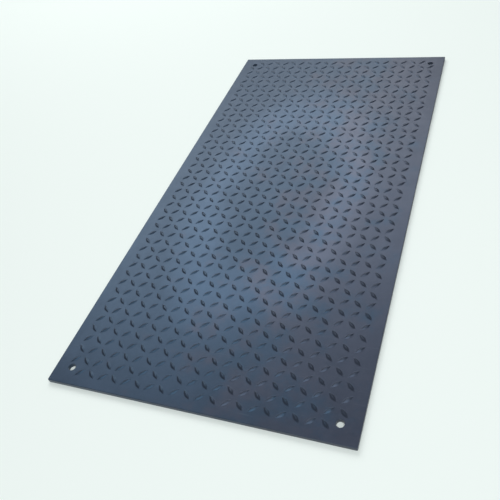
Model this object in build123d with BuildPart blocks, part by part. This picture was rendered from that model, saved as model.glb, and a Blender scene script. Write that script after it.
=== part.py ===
# Ground protection mat: one moulded sheet with a raised tread on its upper face
#
# X runs across the mat, Y along it and Z up. The origin is the middle of the underside,
# which is flat and lies on the ground.

from build123d import *
import os

# Sheet
mat_width = 910.0
mat_length = 1820.0
sheet_thickness = 13.0
corner_radius = 3.0
edge_break = 1.0

# Holes for pins, ties and connectors, one at each corner
hole_diameter = 22.0
hole_inset = 54.0
hole_land = 3.5
mouth_break = 0.6

# Tread of ridged lozenges on a square grid, which alternate between the two diagonals
tread_pitch = 38.5
tread_margin = 42.0
rib_length = 38.0
rib_width = 15.0
rib_height = 2.5
ridge_length = 13.0
rib_turn = 45.0

# The tread takes as many ribs as fit between the plain margins
tread_columns = int((mat_width - 2 * tread_margin) / tread_pitch) + 1
tread_rows = int((mat_length - 2 * tread_margin) / tread_pitch) + 1

# A rib is a low pyramid over a lozenge, and a gable along it cuts the peak down to a ridge
peak_height = rib_height * rib_length / (rib_length - ridge_length)

hole_pattern = GridLocations(
    mat_width - 2 * hole_inset,
    mat_length - 2 * hole_inset,
    2,
    2,
)
hole_centres = [place.position for place in hole_pattern.locations]
tread_pattern = GridLocations(tread_pitch, tread_pitch, tread_columns, tread_rows)


def clear_of_holes(site, turn):
    """Whether a rib here leaves the land round each hole free, taken as a bar of its full width."""
    along = Vector(1, 0, 0).rotate(Axis.Z, turn)
    reach = hole_diameter / 2 + hole_land + rib_width / 2
    for centre in hole_centres:
        offset = centre - site
        beside = max(-rib_length / 2, min(rib_length / 2, offset.dot(along)))
        if (offset - along * beside).length < reach:
            return False
    return True


def rib_places():
    """Where the ribs stand on the upper face, with neighbours on opposite diagonals."""
    places = []
    for index, location in enumerate(tread_pattern.locations):
        column, row = divmod(index, tread_rows)
        turn = rib_turn if (column + row) % 2 else -rib_turn
        if clear_of_holes(location.position, turn):
            places.append(location * Rotation(0, 0, turn))
    return places


with BuildPart() as rib:
    with BuildSketch() as lozenge:
        with BuildLine():
            Polyline(
                (-rib_length / 2, 0),
                (0, -rib_width / 2),
                (rib_length / 2, 0),
                (0, rib_width / 2),
                close=True,
            )
        make_face()
    loft(sections=[lozenge.sketch.face(), Vertex(0, 0, peak_height)])
    with BuildSketch(Plane.YZ) as gable:
        with BuildLine():
            Polyline(
                (-rib_width / 2, 0),
                (rib_width / 2, 0),
                (0, rib_height),
                close=True,
            )
        make_face()
    extrude(gable.sketch, amount=rib_length / 2, both=True, mode=Mode.INTERSECT)

with BuildPart() as mat:
    with BuildSketch():
        RectangleRounded(mat_width, mat_length, corner_radius)
    extrude(amount=sheet_thickness)
    rims = mat.faces().filter_by(Axis.Z).edges()
    chamfer(rims, edge_break)

    with Locations(Plane.XY.offset(sheet_thickness)):
        with Locations(*hole_centres):
            Hole(hole_diameter / 2, depth=sheet_thickness)
    mouths = mat.edges().filter_by(GeomType.CIRCLE).filter_by(lambda edge: edge.is_closed)
    chamfer(mouths, mouth_break)

    # The ribs stand apart, so they leave no faces to merge
    with Locations(Plane.XY.offset(sheet_thickness)):
        with Locations(*rib_places()):
            add(rib.part, clean=False)

mat.part.label = "mat"
os.makedirs("parts", exist_ok=True)
export_step(mat.part, "parts/mat.step")
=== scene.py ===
import math
from functools import partial

import bpy
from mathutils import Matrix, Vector
from mathutils.geometry import delaunay_2d_cdt


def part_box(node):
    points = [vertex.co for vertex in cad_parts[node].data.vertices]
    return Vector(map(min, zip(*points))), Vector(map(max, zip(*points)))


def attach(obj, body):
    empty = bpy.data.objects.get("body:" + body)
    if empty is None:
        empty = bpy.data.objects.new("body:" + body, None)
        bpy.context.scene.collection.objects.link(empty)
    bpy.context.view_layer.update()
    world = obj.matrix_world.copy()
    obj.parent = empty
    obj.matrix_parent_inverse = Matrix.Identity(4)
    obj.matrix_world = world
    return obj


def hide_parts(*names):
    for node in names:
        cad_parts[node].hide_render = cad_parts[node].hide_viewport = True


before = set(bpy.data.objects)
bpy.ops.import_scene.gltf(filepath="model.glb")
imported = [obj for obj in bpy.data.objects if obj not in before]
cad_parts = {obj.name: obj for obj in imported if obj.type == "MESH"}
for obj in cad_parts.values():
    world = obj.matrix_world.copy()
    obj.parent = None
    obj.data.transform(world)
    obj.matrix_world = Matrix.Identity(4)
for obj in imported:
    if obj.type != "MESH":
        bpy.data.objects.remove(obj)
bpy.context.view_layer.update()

# The sheet, in metres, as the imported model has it
_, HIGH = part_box("mat")
HALF_WIDTH = HIGH.x
HALF_LENGTH = HIGH.y
RIB_HEIGHT = 0.0025
SHEET_TOP = HIGH.z - RIB_HEIGHT
CORNER_RADIUS = 0.003
EDGE_RADIUS = 0.001

# The holes
HOLE_RADIUS = 0.011
HOLE_INSET = 0.054
HOLE_LAND = 0.0035
HOLE_EDGE_RADIUS = 0.0006

# The tread
TREAD_PITCH = 0.0385
TREAD_MARGIN = 0.042
RIB_LENGTH = 0.038
RIB_WIDTH = 0.015
RIDGE_LENGTH = 0.013
RIB_TURN = math.radians(45)

# A rib's section from a flat skirt to its crest: share of the half width, share of the height
RIB_SECTION = ((1.10, 0.0), (1.0, 0.0), (0.91, 0.03), (0.80, 0.17), (0.34, 0.80), (0.13, 0.965))
RIB_SIDE_POINTS = 6
RIB_BULGE = 1.25

# How finely the mesh follows the rounds
ROUND_STEPS = 3
CORNER_STEPS = 6
HOLE_STEPS = 40
LEAST_RADIUS = 0.0005
EDGE_SUPPORT = 2.2
JOIN_DISTANCE = 1e-9

# Colours: the darkest and palest land, its violet patches, the ribs, the scuffs and the sheen
DARK_COLOUR = (0.025, 0.032, 0.048, 1)
LIGHT_COLOUR = (0.044, 0.057, 0.090, 1)
VIOLET_COLOUR = (0.054, 0.050, 0.064, 1)
# Painted shade: the ribs are painted darker than the land
RIB_SHADE_COLOUR = (0.023, 0.029, 0.042, 1)
SCUFF_COLOUR = (0.095, 0.108, 0.130, 1)
BLUE_SHEEN = (0.30, 0.62, 1.0, 1)
VIOLET_SHEEN = (0.62, 0.66, 0.90, 1)

# Sheen: its roughness and how much that varies, its level, and the share of it that the ribs keep
SHEEN_ROUGHNESS = 0.35
ROUGHNESS_SPREAD = 0.03
SHEEN_LEVEL = 0.66
RIB_SHEEN_SHARE = 0.88
PLASTIC_IOR = 1.5

# Patterns of noise: scale in features a metre, detail, roughness
CLOUDS = (7.0, 4.0, 0.6)
MOTTLE = (60.0, 3.0, 0.65)
PATCHES = (9.0, 5.0, 0.7)
DULLNESS = (22.0, 4.0, 0.6)
PEEL = (160.0, 2.0, 0.5)
GRAIN = (900.0, 3.0, 0.6)

# The span that most of a noise's values keep to, and how much the land's tone follows it
NOISE_SPAN = (0.3, 0.7)
CLOUD_TONE = 0.3
MOTTLE_TONE = 0.3

# Violet patches: more of them towards +X, where in the noise they begin and are full, their strength
PATCH_LEAN = 0.45
PATCH_SPAN = (0.45, 0.68)
PATCH_SHARE = 0.61

# Relief too fine for the mesh: depth in metres, strength
PEEL_RELIEF = (0.0002, 0.5)
GRAIN_RELIEF = (0.00006, 0.6)

# The painted reflection: a pale, glossier oval band painted on the land in place of a reflection of the
# light; its middle and half axes, its soft width, its wander, its tone and sheen
MARK_CENTRE = (-0.01, -0.02)
MARK_RADII = (0.245, 0.48)
MARK_WIDTH = 0.50
MARK_WAVES = (3.5, 3.0, 0.6)
MARK_WANDER = 0.35
MARK_TONE = 0.57
MARK_SHEEN = 0.36

# Scuffs: each set's direction and the start of its pattern, and how often they come along and across
SCUFF_RUNS = ((22.0, 0.0), (-61.0, 5.0))
SCUFF_SPACING = (5.0, 170.0, 1.0)
SCUFF_NOISE = (1.0, 3.0, 0.7)
SCUFF_SPAN = (0.64, 0.78)
SCUFF_SHARE = 0.35
SCUFF_DULLING = 0.2

# The floor, which fades into the background between two distances from the middle, and the world
FLOOR_REACH = 6.0
FLOOR_FADE = (2.2, 5.5)
FLOOR_DROP = 0.0002
FLOOR_COLOUR = (0.885, 0.963, 0.928, 1)
WORLD_COLOUR = (0.95, 0.97, 1.0, 1)
WORLD_STRENGTH = 0.19

# Each softbox: angle from +X, height angle, width and height, brightness
LIGHT_DISTANCE = 6.0
KEY_AZIMUTH = 121.0
KEY_ELEVATION = 41.3
KEY_SIZE = (6.3, 3.66)
KEY_STRENGTH = 2.9
FILL_AZIMUTH = -58.0
FILL_ELEVATION = 65.0
FILL_SIZE = (4.6, 3.8)
FILL_STRENGTH = 4.0

# The camera, with its turn in degrees and its lens and sensor in millimetres
CAMERA_PLACE = (0.6732, -1.5319, 1.3602)
CAMERA_TURN = (45.0053, 11.0519, 18.9887)
CAMERA_LENS = 42.685
SENSOR_WIDTH = 36.0


class Shell:
    """Points and faces of one closed skin, whose faces share their points."""

    def __init__(self):
        self.points = []
        self.faces = []

    def add_ring(self, ring, height):
        """Adds a level ring of (x, y) points and returns its point numbers."""
        first = len(self.points)
        self.points += [(x, y, height) for x, y in ring]
        return list(range(first, len(self.points)))

    def bridge(self, outer, inner):
        """Joins two rings of as many points; from outside, the second lies to the left of the first's run."""
        count = len(outer)
        for k in range(count):
            following = (k + 1) % count
            self.faces.append((outer[k], outer[following], inner[following], inner[k]))

    def fill(self, rim, holes, upward):
        """Fills the flat between a rim and the rings inside it with triangles."""
        numbers = rim + [number for ring in holes for number in ring]
        place = {number: k for k, number in enumerate(numbers)}
        flat = [Vector(self.points[number][:2]) for number in numbers]
        rim_edges = [(place[a], place[b]) for a, b in zip(rim, rim[1:] + rim[:1])]
        islands = [[place[number] for number in ring] for ring in holes]
        made = delaunay_2d_cdt(flat, rim_edges, islands, 0, JOIN_DISTANCE)
        _, _, triangles, point_sources, _, islands_round = made
        original = [sources[0] for sources in point_sources]
        for triangle, in_island in zip(triangles, islands_round):
            if in_island:
                continue
            corners = tuple(numbers[original[k]] for k in triangle)
            self.faces.append(corners if upward else corners[::-1])

    def to_object(self, name):
        """Makes the skin a smooth-shaded object in the scene."""
        mesh = bpy.data.meshes.new(name)
        mesh.from_pydata(self.points, [], self.faces)
        mesh.validate()
        mesh.shade_smooth()
        piece = bpy.data.objects.new(name, mesh)
        bpy.context.scene.collection.objects.link(piece)
        return piece


def sheet_outline(inset):
    """The sheet's outline, drawn in by an inset, with its four rounded corners."""
    radius = max(CORNER_RADIUS - inset, LEAST_RADIUS)
    x, y = HALF_WIDTH - inset - radius, HALF_LENGTH - inset - radius
    ring = []
    for quarter, (side_x, side_y) in enumerate(((1, 1), (-1, 1), (-1, -1), (1, -1))):
        for step in range(CORNER_STEPS + 1):
            angle = math.pi / 2 * (quarter + step / CORNER_STEPS)
            turn_x, turn_y = radius * math.cos(angle), radius * math.sin(angle)
            ring.append((side_x * x + turn_x, side_y * y + turn_y))
    return ring


def hole_outline(centre, inset):
    """A hole's outline, widened by an inset."""
    radius = HOLE_RADIUS + inset
    angles = [math.tau * k / HOLE_STEPS for k in range(HOLE_STEPS)]
    return [(centre[0] + radius * math.cos(a), centre[1] + radius * math.sin(a)) for a in angles]


def hole_centres():
    """The middles of the four corner holes."""
    x, y = HALF_WIDTH - HOLE_INSET, HALF_LENGTH - HOLE_INSET
    return [(side_x * x, side_y * y) for side_x in (-1, 1) for side_y in (-1, 1)]


def rounded_drop(radius):
    """Steps down round an upper edge: (how far in from the wall, how far below the face)."""
    support = EDGE_SUPPORT * radius
    turns = [math.pi / 2 * k / ROUND_STEPS for k in range(ROUND_STEPS + 1)]
    arc = [(radius * (1 - math.sin(a)), radius * (1 - math.cos(a))) for a in turns]
    return [(support, 0.0)] + arc + [(0.0, support)]


def wall_levels(radius):
    """(inset, height) down the whole wall, from the upper face to the underside."""
    upper = [(inset, SHEET_TOP - drop) for inset, drop in rounded_drop(radius)]
    lower = [(inset, drop) for inset, drop in reversed(rounded_drop(radius))]
    return upper + lower


def add_wall(shell, outline, radius, outward):
    """Adds a wall with rounded edges and returns its uppermost and lowest rings."""
    rings = [shell.add_ring(outline(inset), height) for inset, height in wall_levels(radius)]
    for above, below in zip(rings, rings[1:]):
        if outward:
            shell.bridge(below, above)
        else:
            shell.bridge(above, below)
    return rings[0], rings[-1]


def clears_holes(x, y, turn):
    """Whether a rib here leaves the flat land round every hole free."""
    reach = HOLE_RADIUS + HOLE_LAND + RIB_WIDTH / 2
    along_x, along_y = math.cos(turn), math.sin(turn)
    for hole_x, hole_y in hole_centres():
        dx, dy = hole_x - x, hole_y - y
        beside = max(-RIB_LENGTH / 2, min(RIB_LENGTH / 2, dx * along_x + dy * along_y))
        if math.hypot(dx - beside * along_x, dy - beside * along_y) < reach:
            return False
    return True


def rib_places():
    """(x, y, turn) of every rib: a square grid with neighbours on opposite diagonals."""
    columns = int((2 * HALF_WIDTH - 2 * TREAD_MARGIN) / TREAD_PITCH) + 1
    rows = int((2 * HALF_LENGTH - 2 * TREAD_MARGIN) / TREAD_PITCH) + 1
    for column in range(columns):
        for row in range(rows):
            x = (column - (columns - 1) / 2) * TREAD_PITCH
            y = (row - (rows - 1) / 2) * TREAD_PITCH
            turn = RIB_TURN if (column + row) % 2 else -RIB_TURN
            if clears_holes(x, y, turn):
                yield x, y, turn


def rib_half_outline():
    """Points along one long side of a rib, from tip to tip: (share of half length, share of half width)."""
    count = RIB_SIDE_POINTS + 1
    shares = [-math.cos(math.pi * k / count) for k in range(count + 1)]
    return [(u, 1 - abs(u) ** RIB_BULGE) for u in shares]


def rib_ring(share):
    """A rib's contour at a share of its half width, from its ridge line outwards."""
    side = rib_half_outline()
    contour = side + [(u, -v) for u, v in side[-2:0:-1]]
    ridge, reach = RIDGE_LENGTH / 2, RIB_LENGTH / 2
    return [(u * (ridge + share * (reach - ridge)), v * share * RIB_WIDTH / 2) for u, v in contour]


def rib_ridge():
    """The ridge's points, one for each pair of contour points and one at each end."""
    return [(u * RIDGE_LENGTH / 2, 0.0) for u, _ in rib_half_outline()]


def placed(ring, x, y, turn):
    """A ring turned and moved to its place on the sheet."""
    c, s = math.cos(turn), math.sin(turn)
    return [(x + c * u - s * v, y + s * u + c * v) for u, v in ring]


def add_rib(shell, x, y, turn):
    """Adds one rib and returns the ring at its foot."""
    rings = []
    for share, rise in RIB_SECTION:
        ring = placed(rib_ring(share), x, y, turn)[::-1]
        rings.append(shell.add_ring(ring, SHEET_TOP + rise * RIB_HEIGHT))
    for outer, inner in zip(rings, rings[1:]):
        shell.bridge(outer, inner)
    ridge = shell.add_ring(placed(rib_ridge(), x, y, turn), SHEET_TOP + RIB_HEIGHT)
    shell.bridge(rings[-1], ridge[1:] + ridge[-2::-1])
    return rings[0]


def build_sheet():
    """The whole moulding as one closed skin."""
    shell = Shell()
    rim_top, rim_bottom = add_wall(shell, sheet_outline, EDGE_RADIUS, outward=True)
    tops, bottoms = [], []
    for centre in hole_centres():
        top, bottom = add_wall(shell, partial(hole_outline, centre), HOLE_EDGE_RADIUS, outward=False)
        tops.append(top)
        bottoms.append(bottom)
    feet = [add_rib(shell, x, y, turn) for x, y, turn in rib_places()]
    shell.fill(rim_top, tops + feet, upward=True)
    shell.fill(rim_bottom, bottoms, upward=False)
    return shell.to_object("mat_moulding")


class Nodes:
    """A short way to add and join shader nodes."""

    def __init__(self, tree):
        self.tree = tree
        tree.nodes.clear()

    def add(self, kind, values=None, **settings):
        node = self.tree.nodes.new(kind)
        for name, value in settings.items():
            setattr(node, name, value)
        for name, value in (values or {}).items():
            self.put(node.inputs[name], value)
        return node

    def put(self, socket, value):
        if isinstance(value, bpy.types.NodeSocket):
            self.tree.links.new(value, socket)
        else:
            socket.default_value = value

    def math(self, operation, *values, clamp=False):
        node = self.add("ShaderNodeMath", operation=operation, use_clamp=clamp)
        for socket, value in zip(node.inputs, values):
            self.put(socket, value)
        return node.outputs[0]

    def split(self, place):
        return self.add("ShaderNodeSeparateXYZ", {"Vector": place}).outputs

    def noise(self, place, scale, detail, roughness):
        node = self.add("ShaderNodeTexNoise", {
            "Vector": place, "Scale": scale, "Detail": detail, "Roughness": roughness,
        })
        return node.outputs["Fac"]

    def remap(self, value, low, high, to_low, to_high, smooth=False):
        node = self.add("ShaderNodeMapRange", {
            "Value": value, "From Min": low, "From Max": high, "To Min": to_low, "To Max": to_high,
        }, interpolation_type="SMOOTHSTEP" if smooth else "LINEAR")
        return node.outputs["Result"]

    def mix(self, factor, first, second):
        node = self.add("ShaderNodeMix", data_type="RGBA")
        for name, value in (("Factor", factor), ("A", first), ("B", second)):
            socket = [s for s in node.inputs if s.name == name and s.enabled][0]
            self.put(socket, value)
        return [s for s in node.outputs if s.enabled][0]

    def bump(self, height, depth, strength, **under):
        """A normal with relief, over the normal under it if there is one."""
        values = {"Height": height, "Distance": depth, "Strength": strength}
        return self.add("ShaderNodeBump", values | under).outputs[0]

    def blend(self, factor, first, second):
        """Mixes two shaders: all of the second where the factor is 1."""
        node = self.add("ShaderNodeMixShader", {"Fac": factor})
        for socket, shader in zip(node.inputs[1:], (first, second)):
            self.tree.links.new(shader.outputs[0], socket)
        return node

    def show(self, shader, output):
        self.tree.links.new(shader.outputs[0], self.add(output).inputs["Surface"])


def painted_reflection_band(n, place):
    """A soft oval band of painted reflection round the middle of the sheet, 1 along its crest and 0 away from
    it.
    """
    across, along, _ = n.split(place)
    squares = []
    for distance, centre, radius in zip((across, along), MARK_CENTRE, MARK_RADII):
        share = n.math("DIVIDE", n.math("SUBTRACT", distance, centre), radius)
        squares.append(n.math("MULTIPLY", share, share))
    radius = n.math("SQRT", n.math("ADD", *squares))
    wander = n.remap(n.noise(place, *MARK_WAVES), 0.0, 1.0, -MARK_WANDER, MARK_WANDER)
    off_crest = n.math("ABSOLUTE", n.math("SUBTRACT", n.math("ADD", radius, wander), 1.0))
    return n.remap(off_crest, 0.0, MARK_WIDTH, 1.0, 0.0, smooth=True)


def scuffs(n, place):
    """Faint straight scuffs, 1 in the middle of one and 0 away from them."""
    lines = []
    for turn, start in SCUFF_RUNS:
        run = n.add("ShaderNodeMapping", {
            "Vector": place,
            "Location": (start, start, 0.0),
            "Rotation": (0.0, 0.0, math.radians(turn)),
            "Scale": SCUFF_SPACING,
        }).outputs[0]
        lines.append(n.remap(n.noise(run, *SCUFF_NOISE), *SCUFF_SPAN, 0.0, 1.0))
    return n.math("MAXIMUM", *lines)


def patches(n, place):
    """Violet patches, up to their share."""
    lean = n.math("MULTIPLY", n.split(place)[0], PATCH_LEAN)
    leaning = n.math("ADD", n.noise(place, *PATCHES), lean)
    return n.remap(leaning, *PATCH_SPAN, 0.0, PATCH_SHARE, smooth=True)


def land_tone(n, place, painted_reflection):
    """How pale the land is: broad clouds, finer mottle and the band of painted reflection."""
    cloud = n.remap(n.noise(place, *CLOUDS), *NOISE_SPAN, 0.0, CLOUD_TONE)
    mottle = n.remap(n.noise(place, *MOTTLE), *NOISE_SPAN, 0.0, MOTTLE_TONE)
    return n.math("ADD", n.math("ADD", cloud, mottle), n.math("MULTIPLY", painted_reflection, MARK_TONE), clamp=True)


def sheen_level(n, on_ribs, painted_reflection):
    """Lower on the ribs, a little higher on the band of painted reflection."""
    level = n.remap(on_ribs, 0.0, 1.0, SHEEN_LEVEL, SHEEN_LEVEL * RIB_SHEEN_SHARE)
    return n.math("MULTIPLY", level, n.remap(painted_reflection, 0.0, 1.0, 1.0, 1.0 + MARK_SHEEN))


def sheen_roughness(n, place, scuff):
    """Uneven all over, and duller on the scuffs."""
    smoothest, roughest = SHEEN_ROUGHNESS - ROUGHNESS_SPREAD, SHEEN_ROUGHNESS + ROUGHNESS_SPREAD
    uneven = n.remap(n.noise(place, *DULLNESS), *NOISE_SPAN, smoothest, roughest)
    return n.math("ADD", uneven, n.math("MULTIPLY", scuff, SCUFF_DULLING))


def moulding_material():
    """Black polyethylene: blue-grey bloom on the land, ribs painted darker as painted shade, a pale band of
    painted reflection, scuffs and grain.
    """
    material = bpy.data.materials.new("moulding")
    material.use_nodes = True
    n = Nodes(material.node_tree)
    place = n.add("ShaderNodeTexCoord").outputs["Object"]
    # Painted shade: from the sheet's top up, the ribs are painted darker, and their sheen is lower
    on_ribs = n.remap(n.split(place)[2], SHEET_TOP, SHEET_TOP + RIB_HEIGHT / 3, 0.0, 1.0)
    # Painted reflection: a pale, glossier oval band round the middle of the sheet
    painted_reflection = painted_reflection_band(n, place)
    patch = patches(n, place)
    scuff = n.math("MULTIPLY", scuffs(n, place), SCUFF_SHARE)

    land = n.mix(land_tone(n, place, painted_reflection), DARK_COLOUR, n.mix(patch, LIGHT_COLOUR, VIOLET_COLOUR))
    colour = n.mix(on_ribs, n.mix(scuff, land, SCUFF_COLOUR), RIB_SHADE_COLOUR)
    grain = n.bump(n.noise(place, *GRAIN), *GRAIN_RELIEF)
    surface = n.add("ShaderNodeBsdfPrincipled", {
        "Base Color": colour,
        "Roughness": sheen_roughness(n, place, scuff),
        "IOR": PLASTIC_IOR,
        "Specular IOR Level": sheen_level(n, on_ribs, painted_reflection),
        "Specular Tint": n.mix(patch, BLUE_SHEEN, VIOLET_SHEEN),
        "Normal": n.bump(n.noise(place, *PEEL), *PEEL_RELIEF, Normal=grain),
    })
    n.show(surface, "ShaderNodeOutputMaterial")
    return material


def floor_material():
    """Plain pale paper that turns clear with distance, so no horizon shows."""
    material = bpy.data.materials.new("floor")
    material.use_nodes = True
    n = Nodes(material.node_tree)
    place = n.add("ShaderNodeTexCoord").outputs["Object"]
    distance = n.add("ShaderNodeVectorMath", {"Vector": place}, operation="LENGTH").outputs["Value"]
    fade = n.remap(distance, *FLOOR_FADE, 0.0, 1.0, smooth=True)
    paper = n.add("ShaderNodeBsdfDiffuse", {"Color": FLOOR_COLOUR})
    clear = n.add("ShaderNodeBsdfTransparent")
    n.show(n.blend(fade, paper, clear), "ShaderNodeOutputMaterial")
    return material


def add_floor():
    """The floor, a hair below the underside."""
    reach = FLOOR_REACH
    corners = [(-reach, -reach, 0), (reach, -reach, 0), (reach, reach, 0), (-reach, reach, 0)]
    mesh = bpy.data.meshes.new("floor")
    mesh.from_pydata(corners, [], [(0, 1, 2, 3)])
    mesh.materials.append(floor_material())
    floor = bpy.data.objects.new("floor", mesh)
    floor.location.z = -FLOOR_DROP
    bpy.context.scene.collection.objects.link(floor)


def add_camera():
    data = bpy.data.cameras.new("camera")
    data.sensor_width = SENSOR_WIDTH
    data.lens = CAMERA_LENS
    camera = bpy.data.objects.new("camera", data)
    camera.location = CAMERA_PLACE
    camera.rotation_euler = [math.radians(angle) for angle in CAMERA_TURN]
    bpy.context.scene.collection.objects.link(camera)
    bpy.context.scene.camera = camera


def add_softbox(name, azimuth, elevation, size, strength):
    """Adds a soft rectangular lamp that faces the middle of the mat, as bright as its strength says."""
    azimuth, elevation = math.radians(azimuth), math.radians(elevation)
    way = Vector((
        math.cos(elevation) * math.cos(azimuth),
        math.cos(elevation) * math.sin(azimuth),
        math.sin(elevation),
    ))
    data = bpy.data.lights.new(name, "AREA")
    data.shape = "RECTANGLE"
    data.size, data.size_y = size
    data.energy = strength * math.pi * size[0] * size[1]
    lamp = bpy.data.objects.new(name, data)
    lamp.location = LIGHT_DISTANCE * way
    lamp.rotation_euler = (-way).to_track_quat("-Z", "Y").to_euler()
    bpy.context.scene.collection.objects.link(lamp)


def add_world():
    """A weak even light all round, seen by the camera as the floor's own colour."""
    world = bpy.data.worlds.new("world")
    bpy.context.scene.world = world
    world.use_nodes = True
    n = Nodes(world.node_tree)
    light = n.add("ShaderNodeBackground", {"Color": WORLD_COLOUR, "Strength": WORLD_STRENGTH})
    seen = n.add("ShaderNodeBackground", {"Color": FLOOR_COLOUR, "Strength": 1.0})
    camera_ray = n.add("ShaderNodeLightPath").outputs["Is Camera Ray"]
    n.show(n.blend(camera_ray, light, seen), "ShaderNodeOutputWorld")


moulding = build_sheet()
moulding.data.materials.append(moulding_material())
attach(moulding, "root")
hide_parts("mat")

add_floor()
add_camera()
add_world()
add_softbox("key", KEY_AZIMUTH, KEY_ELEVATION, KEY_SIZE, KEY_STRENGTH)
add_softbox("fill", FILL_AZIMUTH, FILL_ELEVATION, FILL_SIZE, FILL_STRENGTH)
bpy.context.scene.view_settings.view_transform = "Standard"
